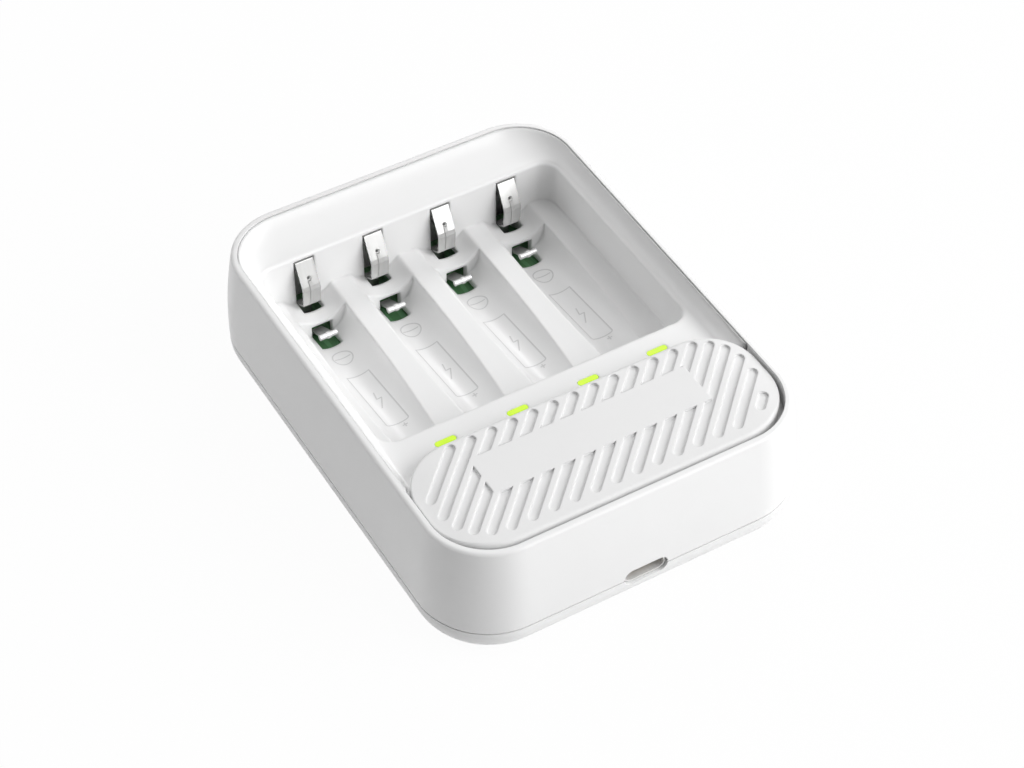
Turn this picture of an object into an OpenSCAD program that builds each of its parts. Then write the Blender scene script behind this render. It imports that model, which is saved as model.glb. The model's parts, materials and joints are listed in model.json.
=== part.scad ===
// Four-bay charger for AA and AAA cells
// It stands flat on z = 0, with the spring contacts to the rear (+Y) and the inlet to the front (-Y)

/* [Body] */
// Width over the rim
rim_w = 76.2; // [74:0.1:84]
// Length over the rim
rim_l = 100.4; // [98:0.1:110]
// Corner radius of the rim in plan
corner_r = 13.1; // [11:0.1:15]
// Height from the table to the rim
body_h = 27; // [26:0.1:31]
// How far the wall swells out below the rim
wall_bulge = 1.8; // [0.8:0.1:2.5]
// Height of the widest line of the wall
bulge_z = 8; // [6.5:0.1:10]
// Thickness of the outer wall
wall_t = 1.8; // [1.4:0.1:2.2]
// Width of the flat band round the rim
rim_band = 1.25; // [1:0.05:1.5]
// Rounding of the rim's outer edge
rim_round = 0.8; // [0.4:0.1:1]
// Height of the parting line between wall and base
parting_z = 6.6; // [6:0.1:7.2]
// Height of the shadow gap at the parting line
seam_gap = 0.3; // [0.1:0.05:0.5]
// Depth of the deck below the rim
deck_drop = 3.7; // [3.2:0.1:4.2]

/* [Base] */
// Floor thickness of the base
base_t = 2; // [1.6:0.1:2.4]
// Rounding of the base's lower edge
base_round = 5.7; // [3:0.1:5.9]
// Height of the lip that locates the wall on the base
lip_h = 2; // [1:0.1:3]
// Thickness of that lip
lip_t = 1; // [0.8:0.1:1.3]

/* [Bay] */
// Width of the body beside the bay
bay_side = 4.6; // [4.3:0.1:5]
// Length of the bay between its end walls
bay_l = 52.4; // [51.8:0.1:53]
// Distance from the bay's rear wall to the rim
bay_behind = 11.2; // [10.9:0.1:12]
// Width of the ledge beside the outer channels
side_ledge = 2.7; // [2.2:0.1:3]
// Diameter of the larger cell
aa_d = 14.5; // [14.3:0.1:14.8]
// Diameter of the smaller cell
aaa_d = 10.5; // [10.2:0.1:10.6]
// Clearance round a cell in its channel
cell_gap = 0.1; // [0.05:0.05:0.15]
// Corner radius of the bay in plan
bay_corner_r = 3.5; // [2.5:0.1:4]
// Rounding of the bay's upper edge
bay_edge = 0.7; // [0.4:0.1:1]
// Height of the ridges between the channels
ridge_z = 13.3; // [12.8:0.1:13.5]
// Length of the saddle behind the grooves, where the larger cell's rear end lies
saddle_l = 6.6; // [6:0.1:7]
// How far the grooves' axis lies below the ridges at the saddle
groove_sink = 1.2; // [0.8:0.1:1.3]
// Rise of the grooves for the smaller cells toward the front
groove_tilt = 6.3; // [5:0.1:7]
// Rounding between the ridges and the saddles
saddle_blend = 1.2; // [0.8:0.1:1.6]
// Wall thickness of the tray
tray_t = 1.4; // [1.2:0.1:1.6]

/* [Contacts] */
// Thickness of the leaf contacts
leaf_t = 0.35; // [0.25:0.05:0.4]
// Width of the rear leaf
aa_leaf_w = 3.9; // [3.4:0.1:4]
// Width of the slot for the rear leaf
aa_slot_w = 4.5; // [4.4:0.1:5]
// Depth of the top of that slot below the deck
aa_slot_drop = 0.9; // [0.7:0.1:1.1]
// Width of the stem of the floor contact
aaa_stem_w = 2.6; // [2:0.1:3]
// Length of its rolled end
aaa_bar_w = 3.8; // [3.2:0.1:3.8]
// Radius of its rolled end
aaa_bar_r = 0.6; // [0.5:0.05:0.7]
// Width of the opening for the floor contact
aaa_slot_w = 4.7; // [4.4:0.1:5]
// Length of that opening along the channel
aaa_slot_l = 4.4; // [4.2:0.1:4.8]
// Thickness of the positive plates
plate_t = 0.4; // [0.3:0.05:0.5]
// Width of the positive plates
plate_w = 5; // [4:0.1:6]

/* [Panel] */
// Gap between the panel and the rim at the sides
panel_side = 0.45; // [0.3:0.05:0.7]
// Distance from the panel to the bay
panel_behind = 7.8; // [7.6:0.1:8.2]
// Radius of its front corners as a share of its length
panel_front_share = 0.45; // [0.4:0.005:0.46]
// Radius of its rear corners as a share of its length
panel_rear_share = 0.395; // [0.36:0.005:0.44]
// Gap between the panel and the rim at the front
panel_gap = 0.95; // [0.6:0.05:1.2]
// How far the panel's top lies below the rim
panel_drop = 0.15; // [0:0.05:0.6]
// Rounding of the panel's upper edge
panel_edge = 0.9; // [0.5:0.1:1.2]
// Length of the fall toward each end of the panel's top
crown_w = 8; // [6:0.5:10]
// Depth of that fall
crown_drop = 0.6; // [0.3:0.05:0.8]
// Distance between flutes along the panel
flute_pitch = 4.38; // [4:0.02:5]
// Where the middle flute crosses the panel's centre line
flute_x = -1.34; // [-2:0.02:2]
// Width of a flute
flute_w = 1.9; // [1.4:0.1:2.2]
// Depth of a flute
flute_depth = 0.5; // [0.3:0.05:0.7]
// Slant of the flutes from the panel's short way
flute_slant = 45; // [30:1:55]
// Margin between the panel's edge and the middle of a flute's end
flute_margin = 2.6; // [2.4:0.1:3.2]
// How far the fluted area lies behind the panel's middle
flute_shift = 0.8; // [0:0.1:1]
// Length of the smooth field in the middle
field_w = 46.5; // [38:0.5:48]
// Width of the smooth field
field_l = 9.7; // [7:0.1:11]
// How far the smooth field lies behind the panel's middle
field_shift = 2.8; // [0:0.1:3]

/* [Board and inlet] */
// Thickness of the circuit board
board_t = 1.2; // [1:0.1:1.6]
// Height of the inlet's centre
inlet_z = 7; // [6.8:0.1:7.2]
// Width of the inlet's metal shell
inlet_w = 8.94; // [8.6:0.02:9.2]
// Height of the inlet's metal shell
inlet_h = 3.2; // [3:0.02:3.4]
// Length of the inlet's metal shell
inlet_l = 7.4; // [7:0.1:9]
// Wall of the inlet's metal shell
inlet_t = 0.3; // [0.2:0.05:0.35]
// Length of a light window
window_w = 4.3; // [3.8:0.1:4.8]
// Width of a light window
window_l = 1.2; // [1:0.1:1.6]
// Distance from the light windows to the bay
window_behind = 4.8; // [4.5:0.05:4.9]

/* [Screws] */
// Radius of the screws' shanks
screw_r = 1; // [0.9:0.05:1.2]
// Radius of the screws' heads
screw_head_r = 2.4; // [2:0.1:2.6]
// Height of the screws' heads
screw_head_h = 1.4; // [1.2:0.1:1.6]
// Length of the screws below the head
screw_l = 8; // [7:0.5:10]

/* [Hidden] */
channels = 4;
round_fn = 96;
small_fn = 32;
slip = 0.1;
free = 0.3;
over = 1;

// Radius of the wall's swelling, and how far it stands outside the rim at a height
bulge_r = (pow(body_h - bulge_z, 2) + pow(wall_bulge, 2)) / (2 * wall_bulge);
function bulge_at(z) = wall_bulge - bulge_r + sqrt(pow(bulge_r, 2) - pow(z - bulge_z, 2));

// The tray's edge stands inside the rim on a ledge of the housing
deck_z = body_h - deck_drop;
tray_inset = rim_band + slip;
ledge_gap = 0.2;
ledge_z = deck_z - tray_t - ledge_gap;
ledge_w = 1.4;
ledge_t = 1.6;
tray_drop = 0.3;
tray_top = body_h - tray_drop;
cove_foot = 0.3;
cove_start = 30;
cove_front = 3;

// The bay takes its place from the rim, and the channels share its width
bay_w = rim_w - 2 * bay_side;
bay_rear = rim_l / 2 - bay_behind;
bay_front = bay_rear - bay_l;
bay_y = (bay_rear + bay_front) / 2;
channel_pitch = (bay_w - 2 * side_ledge) / channels;
function channel_x(i) = (i - (channels + 1) / 2) * channel_pitch;

// A groove for the smaller cell rises toward the front; the larger cell rests on the ridges
trough_r = aaa_d / 2 + cell_gap;
saddle_y = bay_rear - saddle_l;
function trough_axis(y) = ridge_z - groove_sink + (saddle_y - y) * tan(groove_tilt);
function trough_floor(y) = trough_axis(y) - trough_r;
saddle_gap = 0.15;
saddle_r = aa_d / 2 + saddle_gap;
saddle_axis_z = ridge_z + sqrt(pow(aa_d / 2, 2) - pow(trough_r, 2));
blend_z = ridge_z - saddle_blend;
blend_x = sqrt(pow(saddle_r + saddle_blend, 2) - pow(saddle_axis_z - blend_z, 2));
blend_share = saddle_r / (saddle_r + saddle_blend);

// The board lies under the channels, level with the foot of the inlet
board_top = inlet_z - inlet_h / 2;
board_bottom = board_top - board_t;
board_gap = 2.2;
board_front_gap = 1.8;
board_rear_gap = 3.7;
board_w = rim_w - 2 * board_gap;
board_front = -rim_l / 2 + board_front_gap;
board_rear = rim_l / 2 - board_rear_gap;
board_l = board_rear - board_front;
board_y = (board_rear + board_front) / 2;
tail_below = 0.3;
tail_z = board_bottom - tail_below;

// Rear leaf: its tail stands behind the bay's rear wall and its nose reaches into the bay
aa_slot_top = deck_z - aa_slot_drop;
aa_tail_gap = 0.9;
aa_tail_y = bay_rear + tray_t + aa_tail_gap;
aa_nose = 2.85;
aa_nose_y = bay_rear - aa_nose;
aa_nose_drop = 1.9;
aa_nose_z = saddle_axis_z - aa_nose_drop;
aa_top_gap = 0.6;
aa_leaf_top = aa_slot_top - aa_top_gap;
aa_heel_drop = 4;
aa_heel_z = aa_nose_z - aa_heel_drop;
aa_knee_drop = 3.1;
aa_knee_z = aa_heel_z - aa_knee_drop;
aa_heel_back = 0.35;
aa_brow_back = 0.3;
aa_brow_rise = 0.9;
aa_tip = 0.5;
aa_path = [
    [aa_tail_y, tail_z], [aa_tail_y, aa_knee_z],
    [aa_nose_y + aa_heel_back, aa_heel_z], [aa_nose_y, aa_nose_z],
    [aa_nose_y + aa_brow_back, aa_nose_z + aa_brow_rise],
    [bay_rear, aa_leaf_top], [bay_rear + tray_t + aa_tip, aa_leaf_top]
];
rib_end = 0.5;
rib_w = 0.7;
rib_t = 0.75;
aa_rib_path = [
    [aa_nose_y + aa_heel_back, aa_heel_z + rib_end], [aa_nose_y, aa_nose_z],
    [aa_nose_y + aa_brow_back, aa_nose_z + aa_brow_rise],
    [aa_nose_y + aa_brow_back + rib_end, aa_nose_z + aa_brow_rise + 2 * rib_end]
];
aa_dent_r = 0.55;
aa_window_w = 1.9;
aa_window_rim = 0.6;
aa_slot_reach = 3.3;
aa_slot_behind = 4.2;
aa_slot_front = bay_rear - aa_slot_reach;
aa_slot_back = bay_rear + tray_t + aa_slot_behind;
aa_slot_foot = aa_knee_z - aa_slot_reach / 2;
aa_swing = 0.45;

// Floor contact: a sloping stem with a rolled end in the opening of the groove
aaa_tail_back = 3;
aaa_tail_y = saddle_y + aaa_tail_back;
aaa_bar_reach = 2.5;
aaa_bar_y = saddle_y - aaa_bar_reach;
aaa_bar_rise = 1.95;
aaa_bar_z = trough_floor(aaa_bar_y) + aaa_bar_rise;
aaa_hook = 0.5;
aaa_path = [
    [aaa_tail_y, tail_z], [aaa_tail_y, board_top + aaa_hook],
    [aaa_bar_y + aaa_hook, aaa_bar_z - aaa_bar_r / 2], [aaa_bar_y, aaa_bar_z]
];
aaa_nub = 0.15;
aaa_nub_r = aaa_bar_r + aaa_nub;
aaa_slot_rise = 3.2;
aaa_slot_top = trough_floor(saddle_y) + aaa_slot_rise;
aaa_swing = 0.6;

// Positive plate: up the bay's front wall, through a slot in it and down to the board
plate_gap = 0.3;
plate_foot_z = trough_axis(bay_front) - sqrt(pow(trough_r, 2) - pow(plate_w / 2, 2)) + plate_gap;
plate_drop = 2.9;
plate_top_z = deck_z - plate_drop;
plate_tail_gap = 0.5;
plate_tail_y = bay_front - tray_t - plate_tail_gap;
plate_path = [
    [bay_front + plate_t / 2, plate_foot_z], [bay_front + plate_t / 2, plate_top_z],
    [plate_tail_y, plate_top_z], [plate_tail_y, tail_z]
];

// Panel seat and height
panel_front = -rim_l / 2 + rim_band + panel_gap;
panel_rear = bay_front - panel_behind;
panel_w = rim_w - 2 * (rim_band + panel_side);
panel_l = panel_rear - panel_front;
panel_y = (panel_rear + panel_front) / 2;
panel_front_r = panel_front_share * panel_l;
panel_rear_r = panel_rear_share * panel_l;
panel_h = deck_drop - panel_drop;
panel_skin = 1.5;
panel_rail = 2.4;
crown_r = (pow(crown_w, 2) + pow(crown_drop, 2)) / (2 * crown_drop);
flute_step = 0.1;

// Light windows stand between the panel and the bay, over their lamps
window_y = bay_front - window_behind;
window_proud = 0.05;
led_w = 2;
led_l = 1.2;
led_h = 0.8;
led_gap = 0.3;
flange_t = 0.8;
flange_rim = 0.5;

// Screw posts on the tray stand on bosses of the base
post_r = 2.8;
boss_r = 3.6;
boss_gap = 0.6;
boss_top = board_bottom - boss_gap;
pilot_r = screw_r + slip;
pilot_spare = 1;
head_sink = 0.6;
head_seat = head_sink + screw_head_h;
cross_l = 2.8;
cross_w = 0.6;
cross_depth = 0.7;
front_post_side = 11.1;
front_post_ahead = 3.4;
rear_post_side = 8.7;
rear_post_behind = 7.3;
front_post_x = rim_w / 2 - front_post_side;
front_post_y = panel_y - front_post_ahead;
rear_post_x = rim_w / 2 - rear_post_side;
rear_post_y = rim_l / 2 - rear_post_behind;
post_places = [
    [-front_post_x, front_post_y], [front_post_x, front_post_y],
    [-rear_post_x, rear_post_y], [rear_post_x, rear_post_y]
];
stand_r = 1.8;
stand_inset = 6.2;
stand_places = [
    [-channel_pitch, stand_inset - rim_l / 2], [channel_pitch, stand_inset - rim_l / 2],
    [stand_inset - rim_w / 2, bay_y], [rim_w / 2 - stand_inset, bay_y], [0, bay_y],
    [-channel_pitch, rim_l / 2 - stand_inset], [channel_pitch, rim_l / 2 - stand_inset]
];

// The inlet's mouth stands just inside the outer wall
inlet_gap = 0.28;
inlet_sink = 0.6;
inlet_front = -rim_l / 2 - bulge_at(inlet_z) + inlet_sink;
inlet_rear = inlet_front + inlet_l;
tongue_w = 6.7;
tongue_h = 0.7;
tongue_l = 5.2;
tongue_root = 1.2;

// Small parts on the board stand between the inlet and the channels
chip_w = 6;
chip_h = 1;
chip_back = 3.7;
coil_w = 5.4;
coil_h = 2.8;
coil_flange = 0.6;
coil_core = 4;
coil_x = 14;
cap_w = 1.6;
cap_l = 3.2;
cap_h = 1.4;
cap_pitch = 3.4;
cap_count = 4;
cap_front = 3.3;
driver_w = 3;
driver_l = 1.7;
driver_h = 1.1;
driver_x = 3.4;
driver_ahead = 5.35;
sense_w = 3.2;
sense_l = 1.6;
sense_h = 0.6;
sense_x = 2.6;

// Rounded rectangle with its own front and rear corner radii
module outline(w, l, front_r, rear_r) {
    polygon([
        [-w / 2, front_r - l / 2], [front_r - w / 2, -l / 2],
        [w / 2 - front_r, -l / 2], [w / 2, front_r - l / 2],
        [w / 2, l / 2 - rear_r], [w / 2 - rear_r, l / 2], [rear_r - w / 2, l / 2], [-w / 2, l / 2 - rear_r]
    ]);
    for (s = [-1, 1]) {
        translate([s * (w / 2 - front_r), front_r - l / 2]) circle(front_r, $fn = round_fn);
        translate([s * (w / 2 - rear_r), l / 2 - rear_r]) circle(rear_r, $fn = round_fn);
    }
}

module plate(w, l, r, h) {
    linear_extrude(h) outline(w, l, r, r);
}

// Carries a section round that outline; the section's x = 0 lies on the outline and x grows outward
module around(w, l, front_r, rear_r) {
    for (s = [0, 1]) mirror([s, 0, 0]) {
        translate([w / 2 - front_r, front_r - l / 2, 0]) rotate([0, 0, -90])
            rotate_extrude(angle = 90, $fn = round_fn) translate([front_r, 0]) children();
        translate([w / 2 - rear_r, l / 2 - rear_r, 0])
            rotate_extrude(angle = 90, $fn = round_fn) translate([rear_r, 0]) children();
        translate([w / 2, l / 2 - rear_r, 0]) rotate([90, 0, 0])
            linear_extrude(l - front_r - rear_r) children();
    }
    translate([w / 2 - front_r, -l / 2, 0]) rotate([90, 0, -90])
        linear_extrude(w - 2 * front_r) children();
    translate([rear_r - w / 2, l / 2, 0]) rotate([90, 0, 90])
        linear_extrude(w - 2 * rear_r) children();
}

// The part of a square corner that a rounding takes off, with the material at lower left
module corner_off(r) {
    difference() {
        square(r + over);
        circle(r, $fn = small_fn);
    }
}

// Bar with round ends, flat on z = 0
module stadium(length, width, height) {
    linear_extrude(height) {
        square([length - width, width], center = true);
        for (s = [-1, 1]) translate([s * (length - width) / 2, 0]) circle(width / 2, $fn = small_fn);
    }
}

// Round-ended prism that points along Y, centred on the inlet
module inlet_prism(grow, from_y, to_y) {
    translate([0, from_y, inlet_z]) rotate([-90, 0, 0])
        stadium(inlet_w + 2 * grow, inlet_h + 2 * grow, to_y - from_y);
}

// Strip of a given width and thickness that follows points in the YZ plane
module strip(path, width, thickness) {
    rotate([90, 0, 90]) translate([0, 0, -width / 2]) linear_extrude(width) {
        for (i = [0 : len(path) - 2]) {
            step = path[i + 1] - path[i];
            translate(path[i]) rotate(atan2(step[1], step[0]))
                translate([0, -thickness / 2]) square([norm(step), thickness]);
        }
        for (i = [1 : len(path) - 2]) translate(path[i]) circle(thickness / 2, $fn = small_fn);
    }
}

module housing_section() {
    depth = rim_band + ledge_w;
    foot_z = parting_z + seam_gap;
    round_x = bulge_at(body_h - rim_round) - rim_round;
    difference() {
        intersection() {
            translate([-depth, foot_z]) square([depth + 2 * wall_bulge, body_h - foot_z]);
            translate([wall_bulge - bulge_r, bulge_z]) circle(bulge_r, $fn = 6 * round_fn);
        }
        translate([-depth - over, ledge_z]) square([depth + over - rim_band, body_h]);
        intersection() {
            translate([-depth - over, 0]) square([2 * depth + over, ledge_z - ledge_t]);
            translate([wall_bulge - bulge_r, bulge_z]) circle(bulge_r - wall_t, $fn = 6 * round_fn);
        }
        translate([round_x, body_h - rim_round]) corner_off(rim_round);
    }
}

module housing_shell() {
    color("whitesmoke") difference() {
        around(rim_w, rim_l, corner_r, corner_r) housing_section();
        inlet_prism(inlet_gap, -rim_l, -rim_l / 2 + 2 * wall_t);
    }
}

// Section of the base's edge: swelling wall, round lower edge and the lip behind the wall
module base_section() {
    inner = bulge_at(parting_z) - wall_t - slip - lip_t;
    difference() {
        intersection() {
            translate([inner, 0]) square([2 * wall_bulge + wall_t + lip_t, parting_z]);
            translate([wall_bulge - bulge_r, bulge_z]) circle(bulge_r, $fn = 6 * round_fn);
        }
        translate([bulge_at(base_round) - base_round, base_round]) mirror([0, 1]) corner_off(base_round);
    }
    translate([inner, base_t]) square([lip_t, parting_z + lip_h - base_t]);
}

module bottom_cover() {
    core_inset = base_round + over;
    color("white") difference() {
        union() {
            around(rim_w, rim_l, corner_r, corner_r) {
                base_section();
                difference() {
                    translate([-core_inset, 0]) square([core_inset + wall_bulge, base_t]);
                    translate([bulge_at(base_round) - base_round, base_round]) mirror([0, 1])
                        corner_off(base_round);
                }
            }
            plate(rim_w - 2 * core_inset, rim_l - 2 * core_inset, corner_r - core_inset, base_t);
            for (p = post_places) translate(p) cylinder(boss_top, r = boss_r, $fn = small_fn);
            for (p = stand_places) translate(p) cylinder(board_bottom, r = stand_r, $fn = small_fn);
        }
        for (p = post_places) translate([p[0], p[1], -over]) {
            cylinder(head_seat + over, r = screw_head_r + free, $fn = small_fn);
            cylinder(boss_top + 2 * over, r = screw_r + free, $fn = small_fn);
        }
        inlet_prism(inlet_gap, -rim_l, -rim_l / 2 + 2 * wall_t);
    }
}

// Hollow that falls from the rim to the deck, its width changing round the bay
function ring(w, front, rear, r, z, steps) = [
    for (c = [[1, 1, 0], [-1, 1, 90], [-1, -1, 180], [1, -1, 270]], k = [0 : steps])
        let (a = c[2] + 90 * k / steps, y = c[1] > 0 ? rear - r : front + r)
        [c[0] * (w / 2 - r) + r * cos(a), y + r * sin(a), z]
];
function mix(a, b, k, z) = [a[0] + (b[0] - a[0]) * k, a[1] + (b[1] - a[1]) * k, z];
module cove() {
    steps = 10;
    rings = 8;
    top_w = rim_w - 2 * tray_inset - 2 * cove_foot;
    top_y = rim_l / 2 - tray_inset - cove_foot;
    top_r = corner_r - tray_inset - cove_foot;
    foot_w = bay_w + 2 * bay_edge;
    foot_r = bay_corner_r + cove_front;
    foot_rear = bay_rear + bay_edge;
    foot_front = -top_y + cove_front;
    drop = tray_top - deck_z;
    top_ring = ring(top_w, -top_y, top_y, top_r, tray_top, steps);
    foot_ring = ring(foot_w, foot_front, foot_rear, foot_r, deck_z, steps);
    count = len(top_ring);
    points = concat(
        [for (q = top_ring) q + [0, 0, over]],
        [for (k = [0 : rings], i = [0 : count - 1]) let (a = cove_start + (90 - cove_start) * k / rings)
            mix(top_ring[i], foot_ring[i], 1 - cos(a) / cos(cove_start),
                tray_top - drop * (sin(a) - sin(cove_start)) / (1 - sin(cove_start)))]
    );
    faces = concat(
        [[for (i = [count - 1 : -1 : 0]) i]],
        [for (k = [0 : rings], i = [0 : count - 1]) let (j = (i + 1) % count)
            [k * count + i, k * count + j, (k + 1) * count + j, (k + 1) * count + i]],
        [[for (i = [0 : count - 1]) (rings + 1) * count + i]]
    );
    polyhedron(points, faces);
}

// Grooves for the smaller cells, grown by a wall for the tray's underside
module troughs(grow) {
    rise = deck_z - ridge_z;
    for (i = [1 : channels]) translate([channel_x(i), saddle_y, trough_axis(saddle_y)])
        rotate([90 - groove_tilt, 0, 0]) translate([0, 0, -bay_l / 2]) linear_extrude(2 * bay_l) {
            circle(trough_r + grow, $fn = round_fn);
            translate([-trough_r - grow, 0]) square([2 * (trough_r + grow), rise]);
        }
}
// Round seats for the larger cells behind the grooves
module saddles(grow) {
    for (i = [1 : channels]) translate([channel_x(i), bay_rear + grow, saddle_axis_z]) rotate([90, 0, 0])
        cylinder(saddle_l + grow, r = saddle_r + grow, $fn = round_fn);
}
// Section of such a seat, with its sides rounded into the ridges
module saddle_section() {
    low = [blend_share * blend_x, saddle_axis_z + blend_share * (blend_z - saddle_axis_z)];
    translate([0, saddle_axis_z]) circle(saddle_r, $fn = round_fn);
    difference() {
        polygon([
            [-blend_x, ridge_z + over], [blend_x, ridge_z + over], [blend_x, blend_z],
            low, [-low[0], low[1]], [-blend_x, blend_z]
        ]);
        for (s = [-1, 1]) translate([s * blend_x, blend_z]) circle(saddle_blend, $fn = small_fn);
    }
}
// Slab across the tray between two places along it, up to a height
module slab(from_y, to_y, top) {
    translate([-rim_w / 2, from_y, 0]) cube([rim_w, to_y - from_y, top]);
}

module bay_shell() {
    translate([0, bay_y, ridge_z - tray_t])
        plate(bay_w + 2 * tray_t, bay_l + 2 * tray_t, bay_corner_r + tray_t, deck_z - ridge_z);
    intersection() {
        troughs(tray_t);
        slab(bay_front - tray_t, saddle_y + tray_t, ridge_z);
    }
    intersection() {
        saddles(tray_t);
        slab(saddle_y, bay_rear + tray_t, ridge_z);
    }
}

module bay_hollow() {
    translate([0, bay_y, ridge_z]) plate(bay_w, bay_l, bay_corner_r, body_h);
    intersection() {
        troughs(0);
        slab(bay_front, saddle_y, ridge_z + over);
    }
    for (i = [1 : channels]) translate([channel_x(i), 0, 0]) {
        intersection() {
            translate([0, bay_rear, 0]) rotate([90, 0, 0]) linear_extrude(saddle_l) saddle_section();
            slab(saddle_y, bay_rear, ridge_z + over);
        }
    }
    translate([0, bay_y, 0]) around(bay_w, bay_l, bay_corner_r, bay_corner_r)
        translate([bay_edge, deck_z - bay_edge]) mirror([1, 0]) corner_off(bay_edge);
}

module battery_tray() {
    tray_w = rim_w - 2 * tray_inset;
    tray_l = rim_l - 2 * tray_inset;
    aaa_slot_foot = trough_floor(saddle_y + tray_t) - tray_t - over;
    color("white") difference() {
        union() {
            translate([0, 0, ledge_z]) plate(tray_w, tray_l, corner_r - tray_inset, tray_top - ledge_z);
            bay_shell();
            for (p = post_places) translate([p[0], p[1], boss_top])
                cylinder(ledge_z + over - boss_top, r = post_r, $fn = small_fn);
        }
        cove();
        translate([0, panel_y + (free - panel_gap) / 2, deck_z]) linear_extrude(body_h)
            outline(panel_w + 2 * panel_gap, panel_l + panel_gap + free,
                panel_front_r + panel_gap, panel_rear_r + free);
        bay_hollow();
        for (i = [1 : channels]) translate([channel_x(i), 0, 0]) {
            translate([-aa_slot_w / 2, aa_slot_front, aa_slot_foot])
                cube([aa_slot_w, aa_slot_back - aa_slot_front, aa_slot_top - aa_slot_foot]);
            translate([-aaa_slot_w / 2, saddle_y - aaa_slot_l, aaa_slot_foot])
                cube([aaa_slot_w, aaa_slot_l + tray_t + over, aaa_slot_top - aaa_slot_foot]);
            translate([-plate_w / 2 - slip, bay_front - tray_t - over, plate_top_z - plate_t])
                cube([plate_w + 2 * slip, tray_t + 2 * over, 2 * plate_t]);
            translate([0, window_y, ledge_z - over])
                stadium(window_w + 2 * slip, window_l + 2 * slip, deck_z - ledge_z + 2 * over);
        }
        for (p = post_places) translate([p[0], p[1], boss_top - over])
            cylinder(head_seat + screw_l + pilot_spare - boss_top + over, r = pilot_r, $fn = small_fn);
    }
}

// True where a point lies inside the panel's outline less a margin
function beyond(x, y, cx, cy, r) = norm([x - cx, y - cy]) > r;
function on_panel(x, y, m) =
    let (ax = abs(x), w = panel_w / 2 - m, l = panel_l / 2 - m, f = panel_front_r - m, b = panel_rear_r - m)
    ax < w && abs(y) < l
    && !(ax > w - f && y < f - l && beyond(ax, y, w - f, f - l, f))
    && !(ax > w - b && y > l - b && beyond(ax, y, w - b, l - b, b));
// Places along a slanted line on the fluted area
function flute_run(x) = [
    for (t = [-panel_l : flute_step : panel_l])
        if (on_panel(x + t * sin(flute_slant), t * cos(flute_slant) - flute_shift, flute_margin)) t
];
module flute(x, low, high) {
    if (high - low > flute_w) translate([x, 0, 0]) rotate([0, 0, 90 - flute_slant])
        translate([(low + high) / 2, 0, 0]) stadium(high - low + flute_w, flute_w, panel_h + over);
}
// Block under the panel's top, which falls off toward both ends
module crown(lower) {
    flat = panel_w / 2 - crown_w;
    translate([0, 0, -lower]) rotate([90, 0, 0]) linear_extrude(2 * panel_l, center = true) {
        translate([-flat, -over]) square([2 * flat, panel_h + over]);
        for (s = [-1, 1]) intersection() {
            translate([s * flat, panel_h - crown_r]) circle(crown_r, $fn = 6 * round_fn);
            translate([s * (flat + crown_w / 2) - crown_w / 2, -over]) square([crown_w, panel_h + over]);
        }
    }
}

module front_panel() {
    inset = panel_edge + over;
    side = ceil((panel_w + panel_l) / 2 / flute_pitch);
    color("gainsboro") translate([0, panel_y, deck_z]) difference() {
        intersection() {
            union() {
                around(panel_w, panel_l, panel_front_r, panel_rear_r) difference() {
                    translate([-inset, 0]) square([inset, panel_h]);
                    translate([-panel_edge, panel_h - panel_edge]) corner_off(panel_edge);
                }
                linear_extrude(panel_h) outline(panel_w - 2 * inset, panel_l - 2 * inset,
                    panel_front_r - inset, panel_rear_r - inset);
            }
            crown(0);
        }
        translate([0, 0, -over]) linear_extrude(panel_h - panel_skin + over)
            outline(panel_w - 2 * panel_rail, panel_l - 2 * panel_rail,
                panel_front_r - panel_rail, panel_rear_r - panel_rail);
        difference() {
            for (i = [-side : side]) {
                x = flute_x + i * flute_pitch;
                run = flute_run(x);
                if (len(run) > 1) flute(x, min(run), max(run));
            }
            crown(flute_depth);
            translate([-field_w / 2, field_shift - field_l / 2, 0])
                cube([field_w, field_l, panel_h + 2 * over]);
        }
    }
}

module circuit_board() {
    color("darkgreen") difference() {
        translate([0, board_y, board_bottom]) plate(board_w, board_l, corner_r - board_gap, board_t);
        for (p = post_places) translate([p[0], p[1], board_bottom - over])
            cylinder(board_t + 2 * over, r = post_r + free, $fn = small_fn);
        for (i = [1 : channels]) translate([channel_x(i), 0, board_bottom - over]) {
            board_slot(aa_leaf_w, aa_tail_y, leaf_t, aa_swing);
            board_slot(aaa_stem_w, aaa_tail_y, leaf_t, aaa_swing);
            board_slot(plate_w, plate_tail_y, plate_t, slip);
        }
    }
}
// Slot for a contact's tail, with room in front for the tail to swing
module board_slot(width, y, thickness, swing) {
    translate([-width / 2 - slip, y - thickness / 2 - swing, 0])
        cube([width + 2 * slip, thickness + swing + slip, board_t + 2 * over]);
}

module light_pipe(i) {
    rod_foot = board_top + led_h + led_gap;
    color("yellowgreen") translate([channel_x(i), window_y, 0]) {
        translate([0, 0, ledge_z - flange_t])
            stadium(window_w, window_l, deck_z - ledge_z + flange_t + window_proud);
        translate([0, 0, ledge_z - flange_t])
            stadium(window_w + 2 * flange_rim, window_l + 2 * flange_rim, flange_t);
        translate([0, 0, rod_foot]) stadium(window_w - 2 * flange_rim, window_l, ledge_z - rod_foot);
    }
}

module aa_contact(i) {
    heel = aa_path[2];
    dent = aa_rib_path[3];
    color("silver") translate([channel_x(i), 0, 0]) difference() {
        union() {
            strip(aa_path, aa_leaf_w, leaf_t);
            strip(aa_rib_path, rib_w, rib_t);
        }
        translate([-aa_window_w / 2, heel[0] - over, aa_knee_z + 2 * aa_window_rim])
            cube([aa_window_w, aa_nose + over, aa_knee_drop - 3 * aa_window_rim]);
        translate([0, dent[0], dent[1] + aa_dent_r]) sphere(aa_dent_r, $fn = small_fn);
    }
}

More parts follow.
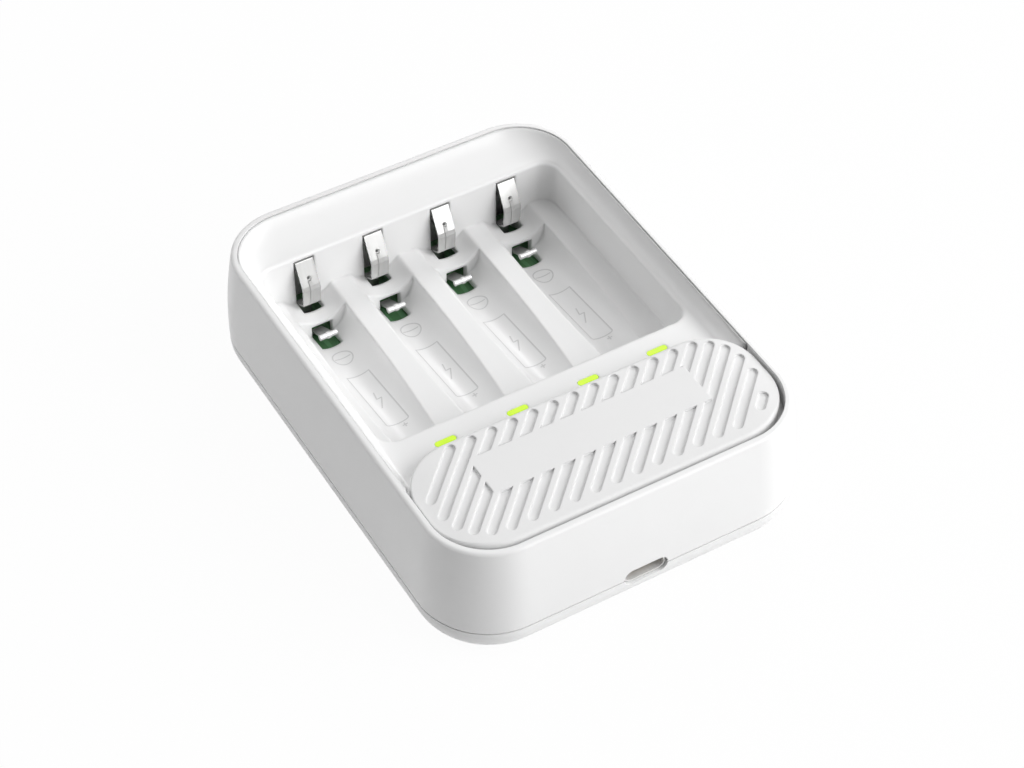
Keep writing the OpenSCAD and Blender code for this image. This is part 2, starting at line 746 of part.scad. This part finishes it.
module aaa_contact(i) {
    color("silver") translate([channel_x(i), 0, 0]) {
        strip(aaa_path, aaa_stem_w, leaf_t);
        translate([-aaa_bar_w / 2, aaa_bar_y, aaa_bar_z]) rotate([0, 90, 0])
            cylinder(aaa_bar_w, r = aaa_bar_r, $fn = small_fn);
        translate([-rib_w / 2, aaa_bar_y, aaa_bar_z]) rotate([0, 90, 0])
            cylinder(rib_w, r = aaa_nub_r, $fn = small_fn);
    }
}

module positive_contact(i) {
    color("silver") translate([channel_x(i), 0, 0]) strip(plate_path, plate_w, plate_t);
}

module usb_shell() {
    color("silver") difference() {
        inlet_prism(0, inlet_front, inlet_rear);
        inlet_prism(-inlet_t, inlet_front - over, inlet_rear + over);
    }
}
module usb_tongue() {
    color("black") {
        inlet_prism(-inlet_t, inlet_rear - tongue_root, inlet_rear);
        translate([-tongue_w / 2, inlet_rear - tongue_root - tongue_l, inlet_z - tongue_h / 2])
            cube([tongue_w, tongue_l + slip, tongue_h]);
    }
}

// Small parts that stand on the board
module on_board(x, y, size) {
    translate([x - size[0] / 2, y - size[1] / 2, board_top]) cube(size);
}
module indicator_leds() {
    color("white") for (i = [1 : channels]) on_board(channel_x(i), window_y, [led_w, led_l, led_h]);
}
module controller_chip() {
    color("dimgray") on_board(0, panel_y + chip_back, [chip_w, chip_w, chip_h]);
}
module power_inductor() {
    color("gray") translate([coil_x, panel_y, board_top]) {
        plate(coil_w, coil_w, over, coil_flange);
        cylinder(coil_h, d = coil_core, $fn = round_fn);
        translate([0, 0, coil_h - coil_flange]) plate(coil_w, coil_w, over, coil_flange);
    }
}
module filter_capacitors() {
    color("tan") for (k = [1 : cap_count])
        on_board(cap_pitch * (k - cap_count / 2) - coil_x, panel_y - cap_front, [cap_w, cap_l, cap_h]);
}
module charge_transistors() {
    color("dimgray") for (i = [1 : channels])
        on_board(channel_x(i) - driver_x, window_y - driver_ahead, [driver_w, driver_l, driver_h]);
}
module sense_resistors() {
    color("dimgray") for (i = [1 : channels])
        on_board(channel_x(i) + sense_x, window_y - driver_ahead, [sense_w, sense_l, sense_h]);
}

module case_screws() {
    color("silver") for (p = post_places) translate([p[0], p[1], 0]) difference() {
        union() {
            translate([0, 0, head_sink]) cylinder(screw_head_h, r = screw_head_r, $fn = small_fn);
            translate([0, 0, head_seat]) cylinder(screw_l, r = screw_r, $fn = small_fn);
        }
        for (a = [0, 90]) rotate([0, 0, a]) translate([-cross_l / 2, -cross_w / 2, head_sink - over])
            cube([cross_l, cross_w, over + cross_depth]);
    }
}

housing_shell();
battery_tray();
bottom_cover();
front_panel();
circuit_board();
light_pipe(1);  // light_pipe_1
light_pipe(2);  // light_pipe_2
light_pipe(3);  // light_pipe_3
light_pipe(4);  // light_pipe_4
aa_contact(1);  // aa_contact_1
aa_contact(2);  // aa_contact_2
aa_contact(3);  // aa_contact_3
aa_contact(4);  // aa_contact_4
aaa_contact(1);  // aaa_contact_1
aaa_contact(2);  // aaa_contact_2
aaa_contact(3);  // aaa_contact_3
aaa_contact(4);  // aaa_contact_4
positive_contact(1);  // positive_contact_1
positive_contact(2);  // positive_contact_2
positive_contact(3);  // positive_contact_3
positive_contact(4);  // positive_contact_4
usb_shell();
usb_tongue();
indicator_leds();
controller_chip();
power_inductor();
filter_capacitors();
charge_transistors();
sense_resistors();
case_screws();
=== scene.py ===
import json
import math

import bpy
from mathutils import Matrix, Vector


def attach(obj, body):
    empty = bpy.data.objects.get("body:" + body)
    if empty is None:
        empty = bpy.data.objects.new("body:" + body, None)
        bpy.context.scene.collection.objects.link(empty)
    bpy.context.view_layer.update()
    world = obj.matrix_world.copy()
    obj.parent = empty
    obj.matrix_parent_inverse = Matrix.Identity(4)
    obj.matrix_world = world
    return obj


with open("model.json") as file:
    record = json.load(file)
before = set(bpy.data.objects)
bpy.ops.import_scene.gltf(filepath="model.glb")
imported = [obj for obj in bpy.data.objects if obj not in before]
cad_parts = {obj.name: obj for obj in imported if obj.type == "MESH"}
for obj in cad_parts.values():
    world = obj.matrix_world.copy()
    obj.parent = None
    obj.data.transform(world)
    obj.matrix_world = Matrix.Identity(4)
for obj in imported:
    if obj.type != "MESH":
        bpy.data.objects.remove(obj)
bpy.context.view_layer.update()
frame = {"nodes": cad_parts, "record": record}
nodes = frame["nodes"]
scene = bpy.context.scene
scene.view_settings.view_transform = "Standard"
mm = 0.001
print("stage: frame loaded,", len(nodes), "nodes")


def make(tree, kind, sockets=None, **values):
    node = tree.nodes.new(kind)
    for key, value in values.items():
        setattr(node, key, value)
    for key, value in (sockets or {}).items():
        node.inputs[key].default_value = value
    return node


def newMaterial(name):
    material = bpy.data.materials.new(name)
    material.use_nodes = True
    tree = material.node_tree
    return material, tree, tree.nodes["Principled BSDF"]


def objectSpace(tree, stretch=(1, 1, 1)):
    coords = make(tree, "ShaderNodeTexCoord")
    mapping = make(tree, "ShaderNodeMapping", {"Scale": stretch})
    tree.links.new(coords.outputs["Object"], mapping.inputs["Vector"])
    return mapping.outputs["Vector"]


def noise(tree, vector, scale, detail=2):
    node = make(tree, "ShaderNodeTexNoise", {"Scale": scale, "Detail": detail})
    tree.links.new(vector, node.inputs["Vector"])
    return node.outputs["Fac"]


def spread(tree, value, low, high, fromLow=0.3, fromHigh=0.7):
    ends = {"From Min": fromLow, "From Max": fromHigh, "To Min": low, "To Max": high}
    node = make(tree, "ShaderNodeMapRange", ends)
    tree.links.new(value, node.inputs["Value"])
    return node.outputs["Result"]


def mixColour(tree, value, dark, light):
    node = make(tree, "ShaderNodeMix", data_type="RGBA")
    tree.links.new(value, node.inputs[0])
    colours = [s for s in node.inputs if s.type == "RGBA"]
    colours[0].default_value = (*dark, 1)
    colours[1].default_value = (*light, 1)
    return [s for s in node.outputs if s.type == "RGBA"][0]


def bump(tree, bsdf, height, depth, strength):
    node = make(tree, "ShaderNodeBump", {"Strength": strength, "Distance": depth})
    tree.links.new(height, node.inputs["Height"])
    tree.links.new(node.outputs["Normal"], bsdf.inputs["Normal"])
    return node


mould = {"drift": 45, "driftDetail": 3, "sheen": 420, "swing": 0.04, "strength": 0.35, "edgeSamples": 8}


def plastic(name, tone, rough, grain, depth, soft, cloud=0.012):
    material, tree, bsdf = newMaterial(name)
    space = objectSpace(tree)
    drift = spread(tree, noise(tree, space, mould["drift"], mould["driftDetail"]), 0, 1)
    colour = mixColour(tree, drift, (tone - cloud,) * 3, (tone,) * 3)
    tree.links.new(colour, bsdf.inputs["Base Color"])
    sheen = noise(tree, space, mould["sheen"])
    swing = mould["swing"]
    tree.links.new(spread(tree, sheen, rough - swing, rough + swing), bsdf.inputs["Roughness"])
    skin = bump(tree, bsdf, noise(tree, space, grain), depth, mould["strength"])
    if soft:
        # Edges eased in the shading, as moulded ones are
        edge = make(tree, "ShaderNodeBevel", {"Radius": soft * mm}, samples=mould["edgeSamples"])
        tree.links.new(edge.outputs["Normal"], skin.inputs["Normal"])
    return material


rolled = {"scale": 1, "detail": 4, "depth": 2e-6, "strength": 0.25}


def metal(name, dark, light, rough, stretch, plated=1.0):
    material, tree, bsdf = newMaterial(name)
    streak = noise(tree, objectSpace(tree, stretch), rolled["scale"], rolled["detail"])  # rolling marks
    tree.links.new(mixColour(tree, spread(tree, streak, 0, 1), dark, light), bsdf.inputs["Base Color"])
    tree.links.new(spread(tree, streak, *rough), bsdf.inputs["Roughness"])
    bsdf.inputs["Metallic"].default_value = plated
    bump(tree, bsdf, streak, rolled["depth"], rolled["strength"])
    return material


# Solder mask greens, lighter than the board's own green: painted light for the light the housing keeps
# from the board; the lighter green marks the copper tracks
mask = {
    "wave": {"Scale": 130, "Distortion": 5, "Detail": 1, "Detail Scale": 0.6}, "edge": (0.62, 0.7),
    "dark": (0.11, 0.27, 0.12), "light": (0.16, 0.37, 0.18), "grain": 300, "rough": (0.29, 0.42),
    "depth": 2e-5, "strength": 0.5,
}


def boardGreenPaintedLight():
    material, tree, bsdf = newMaterial("boardGreenPaintedLight")
    space = objectSpace(tree)
    wave = make(tree, "ShaderNodeTexWave", mask["wave"])
    tree.links.new(space, wave.inputs["Vector"])
    track = spread(tree, wave.outputs["Fac"], 0, 1, *mask["edge"])  # copper under the mask
    tree.links.new(mixColour(tree, track, mask["dark"], mask["light"]), bsdf.inputs["Base Color"])
    grain = noise(tree, space, mask["grain"])
    tree.links.new(spread(tree, grain, *mask["rough"]), bsdf.inputs["Roughness"])
    bump(tree, bsdf, track, mask["depth"], mask["strength"])
    return material


window = {
    "grain": 500, "dark": (0.36, 0.55, 0.015), "light": (0.42, 0.6, 0.025),
    "glow": 0.75, "rough": (0.3, 0.45),
}


def glowing():
    material, tree, bsdf = newMaterial("lightWindow")
    cloud = spread(tree, noise(tree, objectSpace(tree), window["grain"]), 0, 1)
    colour = mixColour(tree, cloud, window["dark"], window["light"])
    tree.links.new(colour, bsdf.inputs["Base Color"])
    tree.links.new(colour, bsdf.inputs["Emission Color"])
    bsdf.inputs["Emission Strength"].default_value = window["glow"]
    tree.links.new(spread(tree, cloud, *window["rough"]), bsdf.inputs["Roughness"])
    return material


cast = {"detail": 3, "swing": 0.08, "depth": 1e-5, "strength": 0.3}


def resin(name, dark, light, rough, grain):
    material, tree, bsdf = newMaterial(name)
    speck = noise(tree, objectSpace(tree), grain, cast["detail"])
    tree.links.new(mixColour(tree, spread(tree, speck, 0, 1), dark, light), bsdf.inputs["Base Color"])
    swing = cast["swing"]
    tree.links.new(spread(tree, speck, rough - swing, rough + swing), bsdf.inputs["Roughness"])
    bump(tree, bsdf, speck, cast["depth"], cast["strength"])
    return material


looks = {
    "white_shell": plastic("shellPlastic", tone=0.86, rough=0.36, grain=2600, depth=5e-6, soft=0.2),
    "white_tray": plastic("trayPlastic", tone=0.86, rough=0.33, grain=2200, depth=3e-6, soft=0.8),
    "white_base": plastic("basePlastic", tone=0.86, rough=0.38, grain=2600, depth=5e-6, soft=0.15),
    "panel_plastic": plastic("panelPlastic", tone=0.81, rough=0.52, grain=3200, depth=9e-6, soft=0.4),
    "board_green": boardGreenPaintedLight(),
    "nickel_shell": metal("nickelShell", dark=(0.72, 0.72, 0.71), light=(0.84, 0.83, 0.82),
                          rough=(0.29, 0.38), stretch=(900, 120, 900), plated=0.35),
    "black_insulator": resin("inletInsulator", (0.36, 0.36, 0.36), (0.44, 0.44, 0.44),
                             rough=0.45, grain=1600),
    "led_body": resin("lampBody", (0.6, 0.6, 0.5), (0.75, 0.74, 0.6), rough=0.4, grain=900),
    "chip_black": resin("chipResin", (0.014, 0.014, 0.015), (0.035, 0.035, 0.036), rough=0.5, grain=2000),
    "ferrite": resin("ferrite", (0.03, 0.03, 0.032), (0.08, 0.08, 0.085), rough=0.55, grain=1500),
    "capacitor_body": resin("firedCeramic", (0.28, 0.19, 0.1), (0.42, 0.3, 0.18), rough=0.42, grain=700),
    "screw_steel": metal("screwSteel", dark=(0.36, 0.36, 0.36), light=(0.58, 0.58, 0.57),
                         rough=(0.28, 0.45), stretch=(700, 700, 700)),
    "light_pipe": glowing(),
    "spring_steel": metal("springSteel", dark=(0.52, 0.52, 0.52), light=(0.6, 0.6, 0.59),
                          rough=(0.16, 0.24), stretch=(900, 120, 120), plated=0.55),
}
# Spring steel for the AAA contacts, lighter and less metallic than their own steel: painted light that
# stands in for the light the slot keeps from them
paintedLightLeaf = metal("paintedLightLeafSteel", dark=(0.72, 0.72, 0.72), light=(0.82, 0.82, 0.81),
                  rough=(0.16, 0.24), stretch=(900, 120, 120), plated=0.35)
print("stage: materials made")


# Smooth shading for the tray's faceted cove, with every other CAD normal kept
cove = {"weld": 1e-6, "sharp": 0.5, "flat": 0.002, "square": 0.9995}


def smoothCove():
    group = bpy.data.node_groups.new("smoothCove", "GeometryNodeTree")
    for way in ("INPUT", "OUTPUT"):
        group.interface.new_socket("Geometry", in_out=way, socket_type="NodeSocketGeometry")
    link = group.links.new

    def compare(value, limit, operation):
        node = make(group, "FunctionNodeCompare", {"B": limit}, data_type="FLOAT", operation=operation)
        link(value, node.inputs["A"])
        return node.outputs["Result"]

    given = make(group, "NodeGroupInput")
    result = make(group, "NodeGroupOutput")
    normal = make(group, "GeometryNodeInputNormal")
    kept = make(group, "GeometryNodeCaptureAttribute", domain="CORNER")
    kept.capture_items.new("VECTOR", "cad")
    link(given.outputs[0], kept.inputs[0])
    link(normal.outputs["Normal"], kept.inputs[1])
    weld = make(group, "GeometryNodeMergeByDistance", {"Distance": cove["weld"]})
    link(kept.outputs[0], weld.inputs["Geometry"])
    angle = make(group, "GeometryNodeInputMeshEdgeAngle")
    plain = make(group, "GeometryNodeSetMeshNormal", {"Remove Custom": True}, mode="SHARPNESS")
    link(weld.outputs["Geometry"], plain.inputs["Mesh"])
    over = compare(angle.outputs["Unsigned Angle"], cove["sharp"], "GREATER_THAN")
    link(over, plain.inputs["Edge Sharpness"])
    gap = make(group, "ShaderNodeVectorMath", operation="DISTANCE")  # a facet's CAD normal is its own
    link(kept.outputs[1], gap.inputs[0])
    link(normal.outputs["True Normal"], gap.inputs[1])
    size = make(group, "ShaderNodeVectorMath", operation="ABSOLUTE")
    link(normal.outputs["True Normal"], size.inputs[0])
    parts = make(group, "ShaderNodeSeparateXYZ")
    link(size.outputs["Vector"], parts.inputs["Vector"])
    most = parts.outputs["X"]
    for axis in ("Y", "Z"):
        larger = make(group, "ShaderNodeMath", operation="MAXIMUM")
        link(most, larger.inputs[0])
        link(parts.outputs[axis], larger.inputs[1])
        most = larger.outputs[0]
    both = make(group, "FunctionNodeBooleanMath", operation="AND")
    link(compare(gap.outputs["Value"], cove["flat"], "LESS_THAN"), both.inputs[0])
    link(compare(most, cove["square"], "LESS_THAN"), both.inputs[1])
    pick = make(group, "GeometryNodeSwitch", input_type="VECTOR")
    link(both.outputs[0], pick.inputs["Switch"])
    link(kept.outputs[1], pick.inputs["False"])
    link(normal.outputs["Normal"], pick.inputs["True"])
    free = make(group, "GeometryNodeSetMeshNormal", mode="FREE", domain="CORNER")
    link(plain.outputs["Mesh"], free.inputs["Mesh"])
    link(pick.outputs[0], free.inputs["Custom Normal"])
    link(free.outputs["Mesh"], result.inputs[0])
    return group


slots = {piece["node"]: piece["material_slot"] for piece in frame["record"]["subparts"]}
for name, node in nodes.items():
    node.data.materials.clear()
    # The AAA contacts take the lighter steel copy with painted light
    node.data.materials.append(paintedLightLeaf if name.startswith("aaa_") else looks[slots[name]])
smooth = nodes["battery_tray"].modifiers.new("smooth", "NODES")
smooth.node_group = smoothCove()
print("stage: nodes finished")


def meshPiece(name, verts, faces, material):
    mesh = bpy.data.meshes.new(name)
    mesh.from_pydata(verts, [], faces)
    mesh.validate()
    mesh.update()
    mesh.materials.append(material)
    piece = bpy.data.objects.new(name, mesh)
    scene.collection.objects.link(piece)
    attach(piece, "charger")
    return piece


# Marks moulded in the channel floors, in mm: x from the channel's middle, y in the frame; their grey tone
# is painted shade for the moulded lines
marks = {
    "count": 4, "pitch": 15.4, "radius": 5.35, "tilt": 6.3, "saddleY": 32.4, "axisZ": 12.1,
    "line": 0.27, "lift": 0.03, "sink": 0.06, "step": 0.35, "tone": 0.66,
    "circle": (0, 23.8, 2.05), "circleFacets": 40, "minus": 1.7,
    "outline": (2.4, 17.4, 0.8), "corner": 0.4, "cornerFacets": 6,
    "bolt": [(0.2, 11.3), (-0.17, 9.25), (0.93, 9.3), (-0.45, 6.4)],
    "plus": (1.0, -0.25, 0.55),
}


def floorPoint(x, y, lift):
    tilt = math.radians(marks["tilt"])
    axis = marks["axisZ"] + (marks["saddleY"] - y) * math.tan(tilt)
    depth = math.sqrt(marks["radius"] ** 2 - x * x)
    normal = Vector((-x, depth * math.sin(tilt), depth * math.cos(tilt))) / marks["radius"]
    return Vector((x, y, axis - depth / math.cos(tilt))) + normal * lift


def divided(path):
    points = [Vector(path[0])]
    for a, b in zip(path, path[1:]):
        a, b = Vector(a), Vector(b)
        count = max(1, math.ceil((b - a).length / marks["step"]))
        points += [a + (b - a) * (k + 1) / count for k in range(count)]
    return points


def ribbon(path, closed, verts, faces, shift):
    points = divided(path + path[:1] if closed else path)
    if closed:
        points.pop()
    count = len(points)
    half, low, high = marks["line"] / 2, -marks["sink"], marks["lift"]
    start = len(verts)
    for i, p in enumerate(points):
        before = points[i - 1] if closed or i else p
        after = points[(i + 1) % count] if closed or i < count - 1 else p
        along = (after - before).normalized()
        side = Vector((-along.y, along.x)) * half
        for q, lift in ((p + side, low), (p + side, high), (p - side, high), (p - side, low)):
            verts.append((floorPoint(q.x, q.y, lift) + Vector((shift, 0, 0))) * mm)
    for i in range(count if closed else count - 1):
        a, b = start + 4 * i, start + 4 * ((i + 1) % count)  # four corners to a section
        for k in range(4):
            faces.append((a + k, a + (k + 1) % 4, b + (k + 1) % 4, b + k))
    if not closed:
        faces.append(tuple(start + k for k in (3, 2, 1, 0)))
        faces.append(tuple(start + 4 * (count - 1) + k for k in (0, 1, 2, 3)))


def arc(cx, cy, r, low, high, count):
    angles = [math.radians(low + (high - low) * k / count) for k in range(count + 1)]
    return [(cx + r * math.cos(t), cy + r * math.sin(t)) for t in angles]


# Grey painted shade on the marks, standing in for the shade of the moulded lines in the white plastic
paintedShadeMarks = plastic("paintedShadeMarkPlastic", tone=marks["tone"], rough=0.42, grain=2600, depth=5e-6,
                   soft=0, cloud=0.03)
for channel in range(marks["count"]):
    verts, faces = [], []
    shift = (channel - (marks["count"] - 1) / 2) * marks["pitch"]
    cx, cy, r = marks["circle"]
    last = marks["circleFacets"] - 1
    ribbon(arc(cx, cy, r, 0, 360 * last / marks["circleFacets"], last), True, verts, faces, shift)
    ribbon([(cx - marks["minus"], cy), (cx + marks["minus"], cy)], False, verts, faces, shift)
    half, rear, front = marks["outline"]
    c, facets = marks["corner"], marks["cornerFacets"]
    rightCorner = arc(half - c, front + c, c, 0, -90, facets)
    leftCorner = arc(c - half, front + c, c, -90, -180, facets)
    ribbon([(-half, rear), (half, rear)] + rightCorner + leftCorner, True, verts, faces, shift)
    ribbon(marks["bolt"], False, verts, faces, shift)
    px, py, arm = marks["plus"]
    ribbon([(px - arm, py), (px + arm, py)], False, verts, faces, shift)
    ribbon([(px, py - arm), (px, py + arm)], False, verts, faces, shift)
    meshPiece("channel_marks_%d" % (channel + 1), verts, faces, paintedShadeMarks)
print("stage: marks made")


# Contact pads on both faces of the inlet's tongue, in mm
pads = {
    "count": 12, "pitch": 0.5, "width": 0.26, "front": -50.15, "rear": -46.9,
    "level": 7.0, "face": 0.35, "proud": 0.03, "edge": 0.01,
}
padQuads = ((0, 3, 2, 1), (4, 5, 6, 7), (0, 1, 5, 4), (1, 2, 6, 5), (2, 3, 7, 6), (3, 0, 4, 7))
gold = metal("padGold", dark=(0.62, 0.42, 0.14), light=(0.86, 0.62, 0.26),
             rough=(0.29, 0.36), stretch=(500, 200, 500))
verts, faces = [], []
front, rear = pads["front"], pads["rear"]
for side in (-1, 1):
    for k in range(pads["count"]):
        x = (k - (pads["count"] - 1) / 2) * pads["pitch"]
        base = len(verts)
        for z in (pads["face"] - pads["proud"], pads["face"] + pads["proud"]):
            for dx, y in ((-1, front), (1, front), (1, rear), (-1, rear)):
                verts.append(Vector((x + dx * pads["width"] / 2, y, pads["level"] + side * z)) * mm)
        for quad in padQuads:
            faces.append(tuple(base + corner for corner in (quad if side > 0 else quad[::-1])))
padPiece = meshPiece("inlet_pads", verts, faces, gold)
padEdge = padPiece.modifiers.new("soft", "BEVEL")
padEdge.width = pads["edge"] * mm
print("stage: inlet pads made")


# Floor and sky, both white to the eye and in reflections
floor = {"half": 3.0, "level": -0.03, "white": 0.96, "albedo": 0.9}
sky = {"level": 0.01}


def seenDirectly(tree):
    path = make(tree, "ShaderNodeLightPath")
    seen = path.outputs["Is Camera Ray"]
    for ray in ("Is Glossy Ray", "Is Transmission Ray"):
        total = make(tree, "ShaderNodeMath", operation="ADD", use_clamp=True)
        tree.links.new(seen, total.inputs[0])
        tree.links.new(path.outputs[ray], total.inputs[1])
        seen = total.outputs[0]
    return seen


def blended(tree, share, first, second, output):
    mix = make(tree, "ShaderNodeMixShader")
    tree.links.new(share, mix.inputs[0])
    tree.links.new(first.outputs[0], mix.inputs[1])
    tree.links.new(second.outputs[0], mix.inputs[2])
    surface = make(tree, output)
    tree.links.new(mix.outputs[0], surface.inputs["Surface"])


half, level = floor["half"], floor["level"] * mm
mesh = bpy.data.meshes.new("floor")
corners = [(-half, -half, level), (half, -half, level), (half, half, level), (-half, half, level)]
mesh.from_pydata(corners, [], [(0, 1, 2, 3)])
floorPiece = bpy.data.objects.new("floor", mesh)
scene.collection.objects.link(floorPiece)
material = bpy.data.materials.new("floorWhite")
material.cycles.emission_sampling = "NONE"  # it lights nothing, it only shows white
material.use_nodes = True
tree = material.node_tree
tree.nodes.clear()
diffuse = make(tree, "ShaderNodeBsdfDiffuse", {"Color": (floor["albedo"],) * 3 + (1,)})
shine = make(tree, "ShaderNodeEmission", {"Color": (1, 1, 1, 1), "Strength": 1})
share = make(tree, "ShaderNodeMath", {1: floor["white"]}, operation="MULTIPLY")
tree.links.new(seenDirectly(tree), share.inputs[0])
blended(tree, share.outputs[0], diffuse, shine, "ShaderNodeOutputMaterial")
mesh.materials.append(material)

world = bpy.data.worlds.new("studio")
world.use_nodes = True
world.cycles.sampling_method = "NONE"  # the lamps do the lighting
scene.world = world
tree = world.node_tree
tree.nodes.clear()
dim = make(tree, "ShaderNodeBackground", {"Color": (1, 1, 1, 1), "Strength": sky["level"]})
bright = make(tree, "ShaderNodeBackground", {"Color": (1, 1, 1, 1), "Strength": 1})
blended(tree, seenDirectly(tree), dim, bright, "ShaderNodeOutputWorld")

lamps = [
    {"name": "key", "at": (0.65, -0.65, 0.6), "size": 1.0, "power": 13.9},
    {"name": "rearLeft", "at": (-0.65, 0.65, 0.6), "size": 1.0, "power": 4.1},
    {"name": "rearRight", "at": (0.65, 0.65, 0.6), "size": 0.35, "power": 2.9},
    {"name": "top", "at": (0, 0, 1.1), "size": 1.0, "power": 2.4},
]
for lamp in lamps:
    light = bpy.data.lights.new(lamp["name"], "AREA")
    light.shape = "SQUARE"
    light.size = lamp["size"]
    light.energy = lamp["power"]
    holder = bpy.data.objects.new(lamp["name"], light)
    scene.collection.objects.link(holder)
    holder.location = lamp["at"]
    holder.rotation_mode = "QUATERNION"
    holder.rotation_quaternion = (-Vector(lamp["at"])).to_track_quat("-Z", "Y")

view = {
    "at": (-0.1768, -0.3032, 0.3802), "azimuth": -30.5, "elevation": 46.55, "roll": 0.15,
    "lens": 91.88, "sensor": 36, "near": 0.01, "far": 20,
}
camera = bpy.data.cameras.new("camera")
camera.lens = view["lens"]
camera.sensor_width = view["sensor"]
camera.clip_start = view["near"]
camera.clip_end = view["far"]
holder = bpy.data.objects.new("camera", camera)
scene.collection.objects.link(holder)
a, e, t = (math.radians(view[k]) for k in ("azimuth", "elevation", "roll"))
back = Vector((math.sin(a) * math.cos(e), -math.cos(a) * math.cos(e), math.sin(e)))
right = Vector((math.cos(a), math.sin(a), 0))
up = back.cross(right)
right, up = right * math.cos(t) + up * math.sin(t), up * math.cos(t) - right * math.sin(t)
holder.matrix_world = Matrix.Translation(view["at"]) @ Matrix((right, up, back)).transposed().to_4x4()
scene.camera = holder
print("stage: floor, light and camera made")
